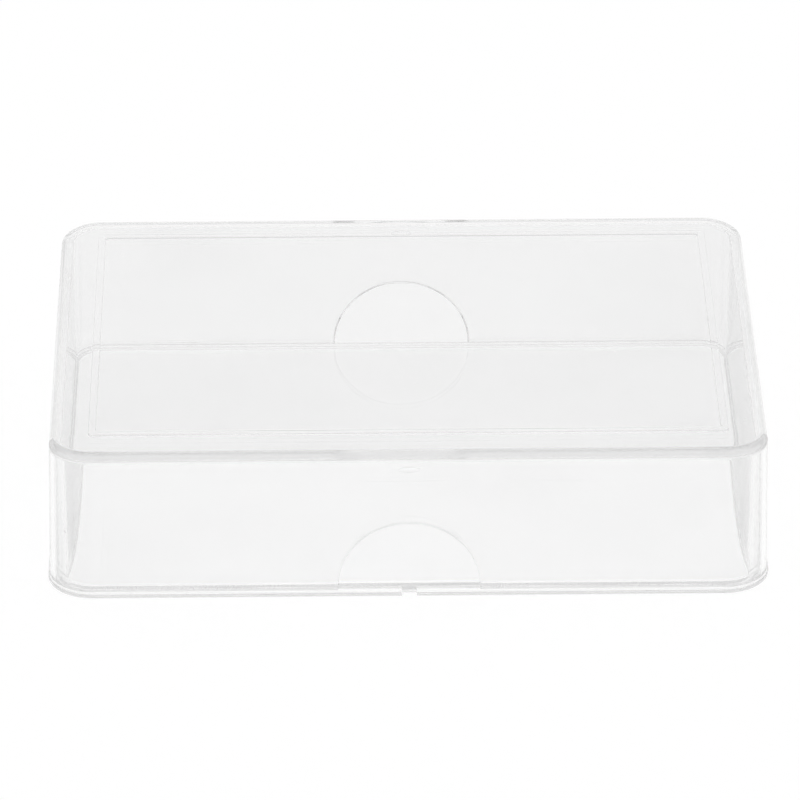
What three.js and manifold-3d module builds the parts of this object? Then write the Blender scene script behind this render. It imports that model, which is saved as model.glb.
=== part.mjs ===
// A clear deck box for one deck of standard playing cards.
// Two injection-moulded shells: an open tray that holds the deck, and a slip-over lid
// that comes down outside the tray and ends just above the tray's flange.
// Millimetres, +Z up, long side along X, origin at the middle of the underside.
import * as THREE from "three";
import { mergeVertices } from "three/addons/utils/BufferGeometryUtils.js";
import Module from "manifold-3d";

const wasm = await Module();
wasm.setup();

// ---- Driving dimensions -------------------------------------------------------------

const CARD_LENGTH = 88.9; // standard card, long side
const CARD_WIDTH = 63.5; // standard card, short side
const CARD_PLAY = 1.25; // space left on each side of the cards at the tray's floor

const BOX_HEIGHT = 21.4; // underside to the lid's flat top
const FLANGE_HEIGHT = 0.7; // the foot plate that stands out below the lid
const FLANGE_OVERHANG = 0.2; // how far the flange stands out past the lid's rim
const FOOT_EDGE = 0.3; // bevel under the flange
const FLOOR_HEIGHT = 0.9; // tray floor, measured from the underside
const TRAY_WALL_AT_FOOT = 1.3;

const LID_GAP = 0.25; // running clearance between lid and tray, on each side
const LID_WALL = 0.65;
const LID_TOP = 1.35; // thickness of the lid's top plate
const LID_RIM_GAP = 0.2; // daylight between the lid's rim and the flange
const CEILING_GAP = 0.25; // daylight between the tray's rim and the lid's ceiling
const LID_EDGE_RADIUS = 1.2; // rounding of the lid's upper outside edge

const CAVITY_CORNER_RADIUS = 3.8; // upright corners of the deck space, at the floor
const OUTER_CORNER_RADIUS = 6.15; // upright corners of the flange
const CAVITY_DRAFT = THREE.MathUtils.degToRad(0.5); // the deck space opens upwards
const WALL_DRAFT = THREE.MathUtils.degToRad(1); // outside of the tray, both sides of the lid

const NOTCH_RADIUS = 9.4; // thumb notch in the rim of each long lid wall
const NOTCH_CENTRE_HEIGHT = 1.2; // its centre, measured from the underside
const NOTCH_BEVEL_DEPTH = 0.5; // the notch flares over this much of the wall
const ARCH_HALF_WIDTH = 9.9; // the notch's outline on the wall's outer face,
const ARCH_RISE = 10.0; // which is a fuller arch about the same centre
const ARCH_FULLNESS = 2.35; // 2 is an ellipse, more is squarer at the shoulders

const BEAD_INSET = 5.2; // from the lid's upper edge to the raised frame on the top
const BEAD_WIDTH = 1.0;
const BEAD_HEIGHT = 0.2;
const BEAD_CORNER_RADIUS = 0.6;

const NUB_LENGTH = 2.9; // snap nub near the tray's rim, middle of each long wall
const NUB_HEIGHT = 0.9;
const NUB_PROUD = 0.2;
const NUB_BELOW_RIM = 1.3; // from the tray's rim to the nub's middle

const GATE_WIDTH = 2.0; // trimmed moulding gate in the flange, middle of the front
const GATE_DEPTH = 1.15; // it reaches just into the foot of the tray's wall
const GATE_HEIGHT = 1.3;

const CORNER_STEPS = 10; // straight pieces in each quarter-round corner
const EDGE_STEPS = 5; // straight pieces in a rounded edge
const NOTCH_STEPS = 48; // straight pieces in a full turn round the notch

// ---- Derived dimensions -------------------------------------------------------------

const CAVITY_HALF_X = CARD_LENGTH / 2 + CARD_PLAY;
const CAVITY_HALF_Y = CARD_WIDTH / 2 + CARD_PLAY;
const LID_RIM_Z = FLANGE_HEIGHT + LID_RIM_GAP;
const CEILING_Z = BOX_HEIGHT - LID_TOP;
const TRAY_RIM_Z = CEILING_Z - CEILING_GAP;

// How far each surface stands outside the deck space's outline at the floor.
const cavityGrowth = (z) => (z - FLOOR_HEIGHT) * Math.tan(CAVITY_DRAFT);
const trayGrowth = (z) => TRAY_WALL_AT_FOOT - (z - FLANGE_HEIGHT) * Math.tan(WALL_DRAFT);
const lidInsideGrowth = (z) => trayGrowth(z) + LID_GAP;
const lidOutsideGrowth = (z) => lidInsideGrowth(z) + LID_WALL;
const FLANGE_GROWTH = lidOutsideGrowth(LID_RIM_Z) + FLANGE_OVERHANG;

// ---- Outlines and solids ------------------------------------------------------------

// Corner points of a rectangle with rounded corners, counter-clockwise from the +X side.
function roundedRectangle(halfX, halfY, radius) {
  const points = [];
  for (let corner = 0; corner < 4; corner += 1) {
    const signX = corner === 0 || corner === 3 ? 1 : -1;
    const signY = corner < 2 ? 1 : -1;
    for (let step = 0; step <= CORNER_STEPS; step += 1) {
      const angle = (Math.PI / 2) * (corner + step / CORNER_STEPS);
      const x = signX * (halfX - radius) + radius * Math.cos(angle);
      const y = signY * (halfY - radius) + radius * Math.sin(angle);
      points.push(new THREE.Vector2(x, y));
    }
  }
  return points;
}

// An outline grown from the deck space's, as one section of a shell at height z. The outer
// surfaces share the flange's corner centres.
function section(growth, z, radius = OUTER_CORNER_RADIUS - FLANGE_GROWTH + growth) {
  const halfX = CAVITY_HALF_X + growth;
  const halfY = CAVITY_HALF_Y + growth;
  return { outline: roundedRectangle(halfX, halfY, radius), z };
}

// The same for the deck space itself, whose corners are rounder.
function cavitySection(z) {
  return section(cavityGrowth(z), z, CAVITY_CORNER_RADIUS + cavityGrowth(z));
}

// A closed skin over sections listed from the lowest to the highest.
function loft(sections) {
  const count = sections[0].outline.length;
  const positions = sections.flatMap(({ outline, z }) => outline.flatMap((p) => [p.x, p.y, z]));
  const index = [];
  for (let level = 0; level < sections.length - 1; level += 1) {
    for (let i = 0; i < count; i += 1) {
      const next = (i + 1) % count;
      const low = level * count;
      const high = low + count;
      index.push(low + i, low + next, high + next);
      index.push(low + i, high + next, high + i);
    }
  }
  const last = (sections.length - 1) * count;
  for (const [a, b, c] of THREE.ShapeUtils.triangulateShape(sections[0].outline, [])) {
    index.push(c, b, a);
  }
  for (const [a, b, c] of THREE.ShapeUtils.triangulateShape(sections.at(-1).outline, [])) {
    index.push(last + a, last + b, last + c);
  }
  const geometry = new THREE.BufferGeometry();
  geometry.setAttribute("position", new THREE.Float32BufferAttribute(positions, 3));
  geometry.setIndex(index);
  return geometry;
}

// A closed geometry as a solid that can be joined and cut.
function solid(geometry) {
  geometry.deleteAttribute("normal");
  geometry.deleteAttribute("uv");
  const merged = mergeVertices(geometry);
  const vertProperties = new Float32Array(merged.attributes.position.array);
  const triVerts = new Uint32Array(merged.index.array);
  return new wasm.Manifold(new wasm.Mesh({ numProp: 3, vertProperties, triVerts }));
}

// A finished solid as a named piece of the box.
function piece(name, body, material) {
  const { numVert, numProp, vertProperties, triVerts } = body.getMesh();
  const positions = new Float32Array(numVert * 3);
  for (let i = 0; i < numVert; i += 1) {
    positions.set(vertProperties.subarray(i * numProp, i * numProp + 3), i * 3);
  }
  const geometry = new THREE.BufferGeometry();
  geometry.setAttribute("position", new THREE.BufferAttribute(positions, 3));
  geometry.setIndex(new THREE.BufferAttribute(triVerts, 1));
  geometry.computeVertexNormals();
  const mesh = new THREE.Mesh(geometry, material);
  mesh.name = name;
  return mesh;
}

// ---- The tray -----------------------------------------------------------------------

// A low dome lying on the outside of a long tray wall. side is -1 at the front, 1 at the back.
function snapNub(side) {
  const height = TRAY_RIM_Z - NUB_BELOW_RIM;
  const dome = new THREE.SphereGeometry(1, 20, 10);
  dome.scale(NUB_LENGTH / 2, NUB_PROUD, NUB_HEIGHT / 2);
  dome.translate(0, side * (CAVITY_HALF_Y + trayGrowth(height)), height);
  return solid(dome);
}

function makeTray() {
  const bevelled = FLANGE_GROWTH - FOOT_EDGE;
  const flange = solid(
    loft([
      section(bevelled, 0),
      section(FLANGE_GROWTH, FOOT_EDGE),
      section(FLANGE_GROWTH, FLANGE_HEIGHT),
    ]),
  );
  const wall = solid(
    loft([
      section(trayGrowth(FOOT_EDGE), FOOT_EDGE),
      section(trayGrowth(TRAY_RIM_Z), TRAY_RIM_Z),
    ]),
  );
  const above = TRAY_RIM_Z + 1;
  const deckSpace = solid(loft([cavitySection(FLOOR_HEIGHT), cavitySection(above)]));
  const gate = new THREE.BoxGeometry(GATE_WIDTH, GATE_DEPTH * 2, GATE_HEIGHT * 2);
  gate.translate(0, -(CAVITY_HALF_Y + FLANGE_GROWTH), 0);
  return flange
    .add(wall)
    .subtract(solid(gate))
    .add(snapNub(-1))
    .add(snapNub(1))
    .subtract(deckSpace);
}

// ---- The lid ------------------------------------------------------------------------

// The raised frame on the lid's top, its foot sunk into the plate.
function topBead() {
  const growth = lidOutsideGrowth(BOX_HEIGHT) - BEAD_INSET;
  const halfX = CAVITY_HALF_X + growth;
  const halfY = CAVITY_HALF_Y + growth;
  const frame = (inset, radius, low, high) => {
    const outline = roundedRectangle(halfX - inset, halfY - inset, radius);
    return solid(loft([{ outline, z: low }, { outline, z: high }]));
  };
  const foot = BOX_HEIGHT - BEAD_HEIGHT;
  const crest = BOX_HEIGHT + BEAD_HEIGHT;
  const outer = frame(0, BEAD_CORNER_RADIUS, foot, crest);
  const inner = frame(BEAD_WIDTH, BEAD_CORNER_RADIUS, foot - 1, crest + 1);
  return outer.subtract(inner);
}

// A notch outline as [x, height] points: an ellipse, or a squarer arch if fullness is over 2.
function notchOutline(halfWidth, rise, fullness) {
  const points = [];
  for (let step = 0; step < NOTCH_STEPS; step += 1) {
    const angle = (2 * Math.PI * step) / NOTCH_STEPS;
    const across = Math.cos(angle);
    const up = Math.sin(angle);
    const x = halfWidth * Math.sign(across) * Math.abs(across) ** (2 / fullness);
    const height = NOTCH_CENTRE_HEIGHT + rise * Math.sign(up) * Math.abs(up) ** (2 / fullness);
    points.push(new THREE.Vector2(x, height));
  }
  return points;
}

// A plug that cuts the flared notch from one long lid wall and follows the wall's lean.
// side is -1 at the front, 1 at the back.
function notchPlug(side) {
  const round = notchOutline(NOTCH_RADIUS, NOTCH_RADIUS, 2);
  const arch = notchOutline(ARCH_HALF_WIDTH, ARCH_RISE, ARCH_FULLNESS);
  const past = 1; // how far the plug runs on beyond each face
  const plug = loft([
    { outline: round, z: -past },
    { outline: round, z: LID_WALL - NOTCH_BEVEL_DEPTH },
    { outline: arch, z: LID_WALL },
    { outline: arch, z: LID_WALL + past },
  ]);
  const { position } = plug.attributes;
  for (let i = 0; i < position.count; i += 1) {
    const height = position.getY(i);
    const y = CAVITY_HALF_Y + lidInsideGrowth(height) + position.getZ(i);
    position.setXYZ(i, -side * position.getX(i), side * y, height);
  }
  return solid(plug);
}

function makeLid() {
  const edgeFoot = BOX_HEIGHT - LID_EDGE_RADIUS;
  const outside = [section(lidOutsideGrowth(LID_RIM_Z), LID_RIM_Z)];
  for (let step = 0; step <= EDGE_STEPS; step += 1) {
    const angle = (Math.PI / 2) * (step / EDGE_STEPS);
    const inset = LID_EDGE_RADIUS * (1 - Math.cos(angle));
    const z = edgeFoot + LID_EDGE_RADIUS * Math.sin(angle);
    outside.push(section(lidOutsideGrowth(edgeFoot) - inset, z));
  }
  const below = LID_RIM_Z - 1;
  const inside = loft([
    section(lidInsideGrowth(below), below),
    section(lidInsideGrowth(CEILING_Z), CEILING_Z),
  ]);
  return solid(loft(outside))
    .subtract(solid(inside))
    .add(topBead())
    .subtract(notchPlug(-1))
    .subtract(notchPlug(1));
}

// ---- Assembly -----------------------------------------------------------------------

const clearPlastic = (color) =>
  new THREE.MeshStandardMaterial({
    color,
    roughness: 0.05,
    metalness: 0,
    transparent: true,
    opacity: 0.25,
  });

const box = new THREE.Group();
box.add(piece("tray", makeTray(), clearPlastic(0xf1f2f3)));
box.add(piece("lid", makeLid(), clearPlastic(0xf6f7f8)));

export default box;
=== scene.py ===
"""A clear, slip-lid deck box for one deck of playing cards, on a white table.

The lid and the tray are closed shells of clear plastic. Both are lofted through horizontal
rings: a ring is the flange's outline, drawn in by some inset, at some height. Then the
notches and the gate are cut and the snap nubs joined on. Lengths are in metres.
"""
import math

import bmesh
import bpy
from mathutils import Matrix, Vector


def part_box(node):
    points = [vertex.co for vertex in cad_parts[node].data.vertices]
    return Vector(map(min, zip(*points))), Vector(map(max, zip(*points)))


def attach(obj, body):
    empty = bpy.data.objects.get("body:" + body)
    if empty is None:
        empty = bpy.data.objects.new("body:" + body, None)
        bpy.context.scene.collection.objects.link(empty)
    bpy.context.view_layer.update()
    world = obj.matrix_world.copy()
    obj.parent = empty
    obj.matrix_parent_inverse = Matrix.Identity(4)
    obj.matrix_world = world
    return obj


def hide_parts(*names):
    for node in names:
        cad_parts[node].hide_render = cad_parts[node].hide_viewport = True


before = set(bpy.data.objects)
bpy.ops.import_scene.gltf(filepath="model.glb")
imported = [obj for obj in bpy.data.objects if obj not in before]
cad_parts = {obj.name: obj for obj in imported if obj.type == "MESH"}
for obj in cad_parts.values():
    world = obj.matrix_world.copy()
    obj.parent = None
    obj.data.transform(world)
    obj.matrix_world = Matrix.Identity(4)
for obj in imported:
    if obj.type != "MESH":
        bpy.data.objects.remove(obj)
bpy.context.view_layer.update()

MM = 0.001
LID_LOW, LID_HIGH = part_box("lid")
TRAY_LOW, TRAY_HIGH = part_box("tray")

# ---- Sizes ---------------------------------------------------------------------------

HALF_X, HALF_Y = TRAY_HIGH.x, TRAY_HIGH.y  # the flange's outline
FLANGE_RADIUS = 6.15 * MM
FLANGE_HEIGHT = 0.7 * MM
FLANGE_EDGE = 0.12 * MM  # roundings of the flange
FOOT_EDGE = 0.3 * MM
FLOOR_HEIGHT = 0.9 * MM
FLOOR_FILLET = 0.5 * MM
TRAY_WALL = 1.3 * MM  # at the foot
TRAY_FOOT_FILLET = 0.2 * MM
TRAY_RIM_EDGE = 0.15 * MM
RIM_Z = LID_LOW.z
TRAY_RIM_Z = TRAY_HIGH.z
CAVITY_RADIUS = 3.8 * MM  # at the floor
CAVITY_SLOPE = math.tan(math.radians(0.5))
WALL_SLOPE = math.tan(math.radians(1.0))

LID_GAP = 0.25 * MM
LID_WALL = 0.65 * MM
LID_RIM_EDGE = 0.12 * MM
BEAD_HEIGHT = 0.2 * MM
TOP_Z = LID_HIGH.z - BEAD_HEIGHT
LID_TOP = 1.35 * MM
LID_EDGE = 1.2 * MM  # rounding of the upper outside edge
CEILING_FILLET = 0.35 * MM
OVERHANG = HALF_X - LID_HIGH.x  # of the flange past the lid's rim

BEAD_INSET = 5.2 * MM  # from the lid's upper edge
BEAD_WIDTH = 1.0 * MM
BEAD_RADIUS = 0.6 * MM
BEAD_ROUNDING = 0.07 * MM

NOTCH_RADIUS = 9.4 * MM
NOTCH_CENTRE_Z = 1.2 * MM
NOTCH_FLARE_DEPTH = 0.5 * MM  # the notch flares over this much of the wall
ARCH_HALF_WIDTH = 9.9 * MM  # the notch's outline on the wall's outer face,
ARCH_RISE = 10.0 * MM  # which is a fuller arch about the same centre
ARCH_FULLNESS = 2.35  # 2 is an ellipse, more is squarer at the shoulders

NUB_SIZE = Vector((2.9, 0.4, 0.9)) * MM  # half of the dome's thickness is in the wall
NUB_BELOW_RIM = 1.3 * MM
GATE_WIDTH = 2.0 * MM
GATE_DEPTH = 1.15 * MM  # it reaches just into the foot of the tray's wall
GATE_HEIGHT = 1.3 * MM

CORNER_STEPS = 24
EDGE_STEPS = 6
NOTCH_STEPS = 128
CUTTER_PAST = 1.0 * MM  # how far a cutter runs on beyond the wall it cuts
CRISP_ANGLE = 28  # edges sharper than this, in degrees, aren't smoothed over


def lid_outside(z):
    """Inset of the lid's outer wall at height z."""
    return OVERHANG + (z - RIM_Z) * WALL_SLOPE


def lid_inside(z):
    return lid_outside(z) + LID_WALL


def tray_outside(z):
    return lid_inside(z) + LID_GAP


def tray_inside(z):
    """Inset of the deck space's wall, which leans out as it rises."""
    at_floor = tray_outside(FLANGE_HEIGHT) + TRAY_WALL
    return at_floor - (z - FLOOR_HEIGHT) * CAVITY_SLOPE


# ---- Mesh helpers ----------------------------------------------------------------------

def rounded_rectangle(half_x, half_y, radius):
    """Corner points of a rounded rectangle, counter-clockwise from the +X side."""
    points = []
    for corner, (sign_x, sign_y) in enumerate(((1, 1), (-1, 1), (-1, -1), (1, -1))):
        for step in range(CORNER_STEPS + 1):
            angle = math.pi / 2 * (corner + step / CORNER_STEPS)
            x = sign_x * (half_x - radius) + radius * math.cos(angle)
            y = sign_y * (half_y - radius) + radius * math.sin(angle)
            points.append((x, y))
    return points


def ring(inset, z):
    """The flange's outline drawn in by inset, at height z."""
    outline = rounded_rectangle(HALF_X - inset, HALF_Y - inset, FLANGE_RADIUS - inset)
    return [Vector((x, y, z)) for x, y in outline]


def cavity_ring(inset, z):
    """The same for the deck space, whose upright corners have a radius of their own."""
    radius = CAVITY_RADIUS + tray_inside(FLOOR_HEIGHT) - inset
    outline = rounded_rectangle(HALF_X - inset, HALF_Y - inset, radius)
    return [Vector((x, y, z)) for x, y in outline]


def arc(inset, z, radius, start, end, ring=ring):
    """Rings of an edge rounding about the centre line (inset, z). Angles are in degrees,
    0 pointing out of the box and 90 pointing up."""
    rings = []
    for step in range(EDGE_STEPS + 1):
        angle = math.radians(start + (end - start) * step / EDGE_STEPS)
        rings.append(ring(inset - radius * math.cos(angle), z + radius * math.sin(angle)))
    return rings


def new_object(name, mesh):
    """Puts a finished bmesh in the scene as an object."""
    data = bpy.data.meshes.new(name)
    mesh.to_mesh(data)
    mesh.free()
    piece = bpy.data.objects.new(name, data)
    bpy.context.scene.collection.objects.link(piece)
    return piece


def closed_shell(name, rings):
    """A closed skin over rings of points, capped at the first ring and the last."""
    mesh = bmesh.new()
    loops = [[mesh.verts.new(point) for point in points] for points in rings]
    count = len(loops[0])
    for low, high in zip(loops, loops[1:]):
        for i in range(count):
            after = (i + 1) % count
            mesh.faces.new((low[i], low[after], high[after], high[i]))
    mesh.faces.new(reversed(loops[0]))
    mesh.faces.new(loops[-1])
    bmesh.ops.recalc_face_normals(mesh, faces=mesh.faces)
    return new_object(name, mesh)


def combine(piece, tool, operation):
    """Cuts tool from piece, or joins it on, and removes tool."""
    modifier = piece.modifiers.new(operation.lower(), "BOOLEAN")
    modifier.operation = operation
    modifier.solver = "EXACT"
    modifier.object = tool
    graph = bpy.context.evaluated_depsgraph_get()
    made = bpy.data.meshes.new_from_object(piece.evaluated_get(graph))
    piece.modifiers.clear()
    old = piece.data
    piece.data = made
    made.name = piece.name
    bpy.data.meshes.remove(old)
    bpy.data.objects.remove(tool)


def smooth(piece):
    """Shades the roundings smoothly, and keeps the flats flat and the cut edges crisp."""
    for face in piece.data.polygons:
        face.use_smooth = True
    piece.data.set_sharp_from_angle(angle=math.radians(CRISP_ANGLE))
    modifier = piece.modifiers.new("flats", "WEIGHTED_NORMAL")
    modifier.mode = "FACE_AREA"
    modifier.weight = 100
    modifier.keep_sharp = True


# ---- Shells -----------------------------------------------------------------------------

def make_tray():
    """Rings from the underside, round the flange, up the wall, over the rim, to the floor."""
    wall_foot = FLANGE_HEIGHT + TRAY_FOOT_FILLET
    rim_edge = TRAY_RIM_Z - TRAY_RIM_EDGE
    floor_edge = FLOOR_HEIGHT + FLOOR_FILLET
    rings = []
    rings += arc(FOOT_EDGE, FOOT_EDGE, FOOT_EDGE, -90, 0)
    rings += arc(FLANGE_EDGE, FLANGE_HEIGHT - FLANGE_EDGE, FLANGE_EDGE, 0, 90)
    rings += arc(tray_outside(wall_foot) - TRAY_FOOT_FILLET, wall_foot, TRAY_FOOT_FILLET, 270, 180)
    rings += arc(tray_outside(rim_edge) + TRAY_RIM_EDGE, rim_edge, TRAY_RIM_EDGE, 0, 90)
    rim_inset = tray_inside(rim_edge) - TRAY_RIM_EDGE
    rings += arc(rim_inset, rim_edge, TRAY_RIM_EDGE, 90, 180, cavity_ring)
    floor_inset = tray_inside(floor_edge) + FLOOR_FILLET
    rings += arc(floor_inset, floor_edge, FLOOR_FILLET, 0, -90, cavity_ring)
    return closed_shell("tray_shell", rings)


def make_lid():
    """Rings from the ceiling, down inside, round the rim, up outside, over the top."""
    rim_edge = RIM_Z + LID_RIM_EDGE
    top_edge = TOP_Z - LID_EDGE
    ceiling = TOP_Z - LID_TOP
    ceiling_edge = ceiling - CEILING_FILLET
    rings = []
    rings += arc(lid_inside(ceiling_edge) + CEILING_FILLET, ceiling_edge, CEILING_FILLET, 90, 0)
    rings += arc(lid_inside(rim_edge) - LID_RIM_EDGE, rim_edge, LID_RIM_EDGE, 180, 270)
    rings += arc(lid_outside(rim_edge) + LID_RIM_EDGE, rim_edge, LID_RIM_EDGE, 270, 360)
    rings += arc(lid_outside(top_edge) + LID_EDGE, top_edge, LID_EDGE, 0, 90)
    rings += bead_rings()
    return closed_shell("lid_shell", rings)


def bead_rings():
    """Rings over the raised frame on the lid's top, from outside it to inside it."""
    outer = lid_outside(TOP_Z) + BEAD_INSET
    crest = TOP_Z + BEAD_HEIGHT - BEAD_ROUNDING
    steps = [(0.0, TOP_Z), (0.0, crest)]
    for step in range(1, EDGE_STEPS + 1):
        angle = math.pi / 2 * step / EDGE_STEPS
        inset = BEAD_ROUNDING * (1 - math.cos(angle))
        steps.append((inset, crest + BEAD_ROUNDING * math.sin(angle)))
    steps += [(BEAD_WIDTH - inset, z) for inset, z in reversed(steps)]
    rings = []
    for inset, z in steps:
        half_x = HALF_X - outer - inset
        half_y = HALF_Y - outer - inset
        outline = rounded_rectangle(half_x, half_y, BEAD_RADIUS)
        rings.append([Vector((x, y, z)) for x, y in outline])
    return rings


lid = make_lid()
tray = make_tray()


def notch_outline(half_width, rise, fullness):
    """(x, z) points round a notch: an ellipse, or a squarer arch if fullness is over 2."""
    points = []
    for step in range(NOTCH_STEPS):
        angle = 2 * math.pi * step / NOTCH_STEPS
        across, up = math.cos(angle), math.sin(angle)
        x = half_width * math.copysign(abs(across) ** (2 / fullness), across)
        z = NOTCH_CENTRE_Z + rise * math.copysign(abs(up) ** (2 / fullness), up)
        points.append((x, z))
    return points


def notch_cutter(side):
    """A plug that cuts the flared notch from one long lid wall and follows its lean.
    side is -1 at the front, 1 at the back."""
    arch = notch_outline(ARCH_HALF_WIDTH, ARCH_RISE, ARCH_FULLNESS)
    bore = notch_outline(NOTCH_RADIUS, NOTCH_RADIUS, 2)
    # (depth into the wall, share of the arch in the outline there)
    flare = [(-CUTTER_PAST, 1.0)]
    for step in range(EDGE_STEPS + 1):
        angle = math.pi / 2 * step / EDGE_STEPS
        flare.append((NOTCH_FLARE_DEPTH * (1 - math.cos(angle)), 1 - math.sin(angle)))
    flare.append((LID_WALL + CUTTER_PAST, 0.0))
    rings = []
    for depth, share in flare:
        points = []
        for (arch_x, arch_z), (bore_x, bore_z) in zip(arch, bore):
            x = bore_x + share * (arch_x - bore_x)
            z = bore_z + share * (arch_z - bore_z)
            points.append((x, side * (HALF_Y - lid_outside(z) - depth), z))
        rings.append(points)
    return closed_shell("notch", rings)


def nub(side):
    """The low snap dome on one long tray wall."""
    mesh = bmesh.new()
    bmesh.ops.create_uvsphere(mesh, u_segments=48, v_segments=24, radius=0.5)
    z = TRAY_RIM_Z - NUB_BELOW_RIM
    place = Matrix.Translation((0, side * (HALF_Y - tray_outside(z)), z))
    bmesh.ops.transform(mesh, verts=mesh.verts, matrix=place @ Matrix.Diagonal((*NUB_SIZE, 1)))
    return new_object("nub", mesh)


def gate_cutter():
    """A block that cuts the trimmed moulding gate's recess in the middle of the front."""
    mesh = bmesh.new()
    bmesh.ops.create_cube(mesh, size=1.0)
    size = Matrix.Diagonal((GATE_WIDTH, 2 * GATE_DEPTH, 2 * GATE_HEIGHT, 1))
    place = Matrix.Translation((0, -HALF_Y, 0))
    bmesh.ops.transform(mesh, verts=mesh.verts, matrix=place @ size)
    return new_object("gate", mesh)


for side in (-1, 1):
    combine(lid, notch_cutter(side), "DIFFERENCE")
    combine(tray, nub(side), "UNION")
combine(tray, gate_cutter(), "DIFFERENCE")
for shell in (lid, tray):
    smooth(shell)


# ---- Materials --------------------------------------------------------------------------

PLASTIC_IOR = 1.59  # polystyrene
CLEAREST, CLOUDIEST = 0.983, 0.968  # tint of the plastic where it's clean and where handled
INSIDE_GREY, INSIDE_DENSITY = 0.5, 1.5  # what the plastic takes from light that runs in it
WAVE_HEIGHT, SCRATCH_DEPTH = 3.0, 0.6  # micrometres
SCRATCH_TURNS = (0.35, -0.8)  # radians
SMUDGE_ROUGHNESS, DUST_ROUGHNESS = 0.05, 0.35


def clear_plastic(name, offset):
    """Clear polystyrene, a little uneven from moulding, with hairline scratches and dust.
    offset moves the pattern, so that the two pieces don't share it. A texture's scale is in
    features per metre."""
    material = bpy.data.materials.new(name)
    material.use_nodes = True
    nodes, links = material.node_tree.nodes, material.node_tree.links
    shader = nodes["Principled BSDF"]
    shader.inputs["IOR"].default_value = PLASTIC_IOR
    shader.inputs["Transmission Weight"].default_value = 1.0

    place = nodes.new("ShaderNodeTexCoord").outputs["Object"]

    def mapped(scale, turn=0.0):
        mapping = nodes.new("ShaderNodeMapping")
        mapping.inputs["Location"].default_value = offset
        mapping.inputs["Rotation"].default_value = (0, 0, turn)
        mapping.inputs["Scale"].default_value = scale
        links.new(place, mapping.inputs["Vector"])
        return mapping.outputs["Vector"]

    def noise(scale, turn=0.0, detail=2.0):
        texture = nodes.new("ShaderNodeTexNoise")
        texture.inputs["Scale"].default_value = 1.0
        texture.inputs["Detail"].default_value = detail
        links.new(mapped(scale, turn), texture.inputs["Vector"])
        return texture.outputs["Fac"]

    def ranged(value, low, high, to_low, to_high):
        ramp = nodes.new("ShaderNodeMapRange")
        ramp.interpolation_type = "SMOOTHSTEP"
        ramp.inputs["From Min"].default_value = low
        ramp.inputs["From Max"].default_value = high
        ramp.inputs["To Min"].default_value = to_low
        ramp.inputs["To Max"].default_value = to_high
        links.new(value, ramp.inputs["Value"])
        return ramp.outputs[0]

    def added(first, second):
        total = nodes.new("ShaderNodeMath")
        total.operation = "ADD"
        links.new(first, total.inputs[0])
        links.new(second, total.inputs[1])
        return total.outputs[0]

    # Heights are in micrometres: slow moulding waves, then hairline scratches.
    waves = ranged(noise((70, 45, 60)), 0.3, 0.7, 0.0, WAVE_HEIGHT)
    hairs = []
    for turn in SCRATCH_TURNS:
        line = noise((25, 1600, 40), turn, 0.0)
        hairs.append(ranged(line, 0.78, 0.86, 0.0, -SCRATCH_DEPTH))
    height = added(waves, added(*hairs))
    bump = nodes.new("ShaderNodeBump")
    bump.inputs["Distance"].default_value = 0.001 * MM
    links.new(height, bump.inputs["Height"])
    links.new(bump.outputs["Normal"], shader.inputs["Normal"])

    # Handling smudges and a few specks of dust are rougher than the moulded surface.
    smudges = ranged(noise((55, 75, 50), 0.5, 5.0), 0.52, 0.72, 0.0, SMUDGE_ROUGHNESS)
    cells = nodes.new("ShaderNodeTexVoronoi")
    cells.inputs["Scale"].default_value = 1.0
    links.new(mapped((70, 70, 70)), cells.inputs["Vector"])
    specks = ranged(cells.outputs["Distance"], 0.012, 0.02, DUST_ROUGHNESS, 0.0)
    links.new(added(smudges, specks), shader.inputs["Roughness"])

    # The plastic is water-clear, very slightly clouded where it has been handled.
    colour = nodes.new("ShaderNodeMix")
    colour.data_type = "RGBA"
    colour.inputs["A"].default_value = (CLEAREST, CLEAREST, CLEAREST, 1)
    colour.inputs["B"].default_value = (CLOUDIEST, CLOUDIEST, CLOUDIEST, 1)
    clouding = ranged(noise((40, 60, 45), 1.1, 4.0), 0.45, 0.75, 0.0, 1.0)
    links.new(clouding, colour.inputs["Factor"])
    links.new(colour.outputs["Result"], shader.inputs["Base Color"])

    inside = nodes.new("ShaderNodeVolumeAbsorption")
    inside.inputs["Color"].default_value = (INSIDE_GREY, INSIDE_GREY, INSIDE_GREY, 1)
    inside.inputs["Density"].default_value = INSIDE_DENSITY
    links.new(inside.outputs["Volume"], nodes["Material Output"].inputs["Volume"])
    return material


lid.data.materials.clear()
lid.data.materials.append(clear_plastic("lid_clear", (0.0, 0.0, 0.0)))
tray.data.materials.clear()
tray.data.materials.append(clear_plastic("tray_clear", (3.7, 1.9, 5.3)))

for piece, body, slot in ((lid, "lid", "lid_plastic"), (tray, "tray", "tray_plastic")):
    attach(piece, body)
    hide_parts(body)

# ---- Stage ------------------------------------------------------------------------------

FLOOR_HALF = 3.0
FLOOR_BELOW = 0.02 * MM  # keeps the table clear of the box's underside
FLOOR_GLOW = 0.832  # the table is lit from below, as a light table is
SKY_LOW, SKY_HIGH = 0.72, 1.0  # brightness low down and straight up
SKY_RISE = 0.5  # the sky brightens from this height, where 1 is straight up


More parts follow.
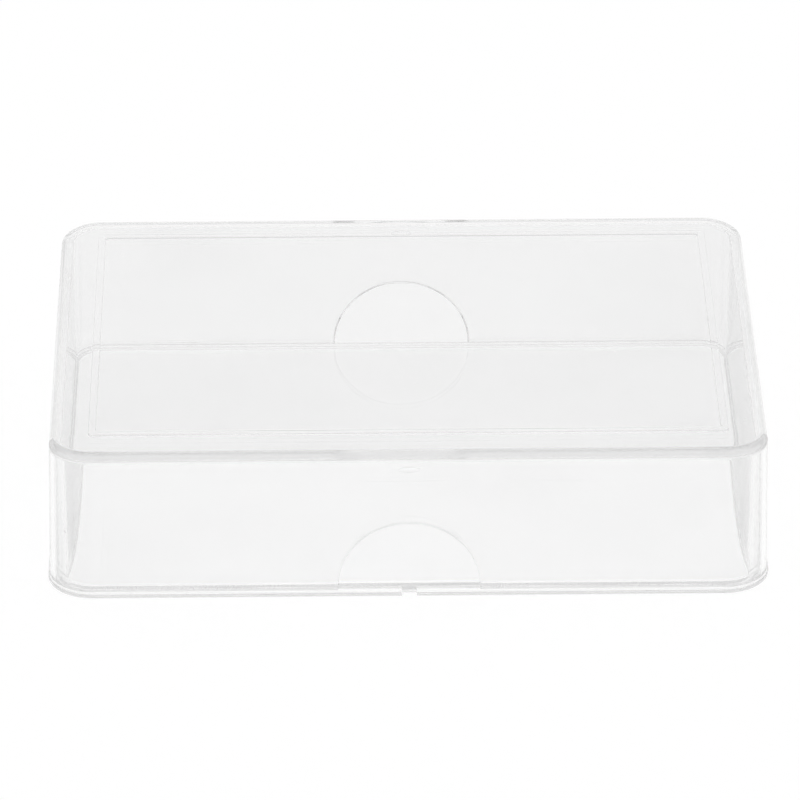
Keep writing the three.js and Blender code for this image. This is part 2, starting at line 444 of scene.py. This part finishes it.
def make_floor():
    mesh = bmesh.new()
    corners = []
    for sign_x, sign_y in ((-1, -1), (1, -1), (1, 1), (-1, 1)):
        corner = (sign_x * FLOOR_HALF, sign_y * FLOOR_HALF, TRAY_LOW.z - FLOOR_BELOW)
        corners.append(mesh.verts.new(corner))
    mesh.faces.new(corners)
    floor = new_object("floor", mesh)
    material = bpy.data.materials.new("floor_white")
    material.use_nodes = True
    shader = material.node_tree.nodes["Principled BSDF"]
    shader.inputs["Base Color"].default_value = (0.2, 0.2, 0.2, 1)
    shader.inputs["Roughness"].default_value = 0.9
    shader.inputs["Specular IOR Level"].default_value = 0.0
    shader.inputs["Emission Color"].default_value = (1, 1, 1, 1)
    shader.inputs["Emission Strength"].default_value = FLOOR_GLOW
    floor.data.materials.append(material)


make_floor()

world = bpy.data.worlds.new("studio")
bpy.context.scene.world = world
world.use_nodes = True
nodes, links = world.node_tree.nodes, world.node_tree.links
background = nodes["Background"]
coordinate = nodes.new("ShaderNodeTexCoord")
split = nodes.new("ShaderNodeSeparateXYZ")
links.new(coordinate.outputs["Generated"], split.inputs[0])
ramp = nodes.new("ShaderNodeMapRange")
ramp.interpolation_type = "SMOOTHSTEP"
ramp.inputs["From Min"].default_value = SKY_RISE
ramp.inputs["From Max"].default_value = 1.0
ramp.inputs["To Min"].default_value = SKY_LOW
ramp.inputs["To Max"].default_value = SKY_HIGH
links.new(split.outputs["Z"], ramp.inputs["Value"])
links.new(ramp.outputs[0], background.inputs["Strength"])
background.inputs["Color"].default_value = (1, 1, 1, 1)

# ---- Camera -----------------------------------------------------------------------------

CAMERA_LENS = 299.4  # millimetres, on the usual 36 mm frame
CAMERA_PLACE = Vector((-12.5, -803.6, 437.5)) * MM
CAMERA_YAW, CAMERA_DOWN, CAMERA_ROLL = -0.0147, 0.4881, -0.0011  # radians
LIGHT_BOUNCES = 200  # light runs along inside the thin clear walls for many reflections

camera = bpy.data.objects.new("camera", bpy.data.cameras.new("camera"))
bpy.context.scene.collection.objects.link(camera)
camera.data.lens = CAMERA_LENS
camera.data.clip_end = 20
place = Matrix.Translation(CAMERA_PLACE)
turn = Matrix.Rotation(CAMERA_YAW, 4, "Z") @ Matrix.Rotation(math.pi / 2 - CAMERA_DOWN, 4, "X")
camera.matrix_world = place @ turn @ Matrix.Rotation(CAMERA_ROLL, 4, "Z")
bpy.context.scene.camera = camera

bpy.context.scene.view_settings.view_transform = "Standard"
bpy.context.scene.cycles.max_bounces = LIGHT_BOUNCES
bpy.context.scene.cycles.transmission_bounces = LIGHT_BOUNCES
bpy.context.scene.cycles.glossy_bounces = LIGHT_BOUNCES
bpy.context.scene.cycles.blur_glossy = 0.0
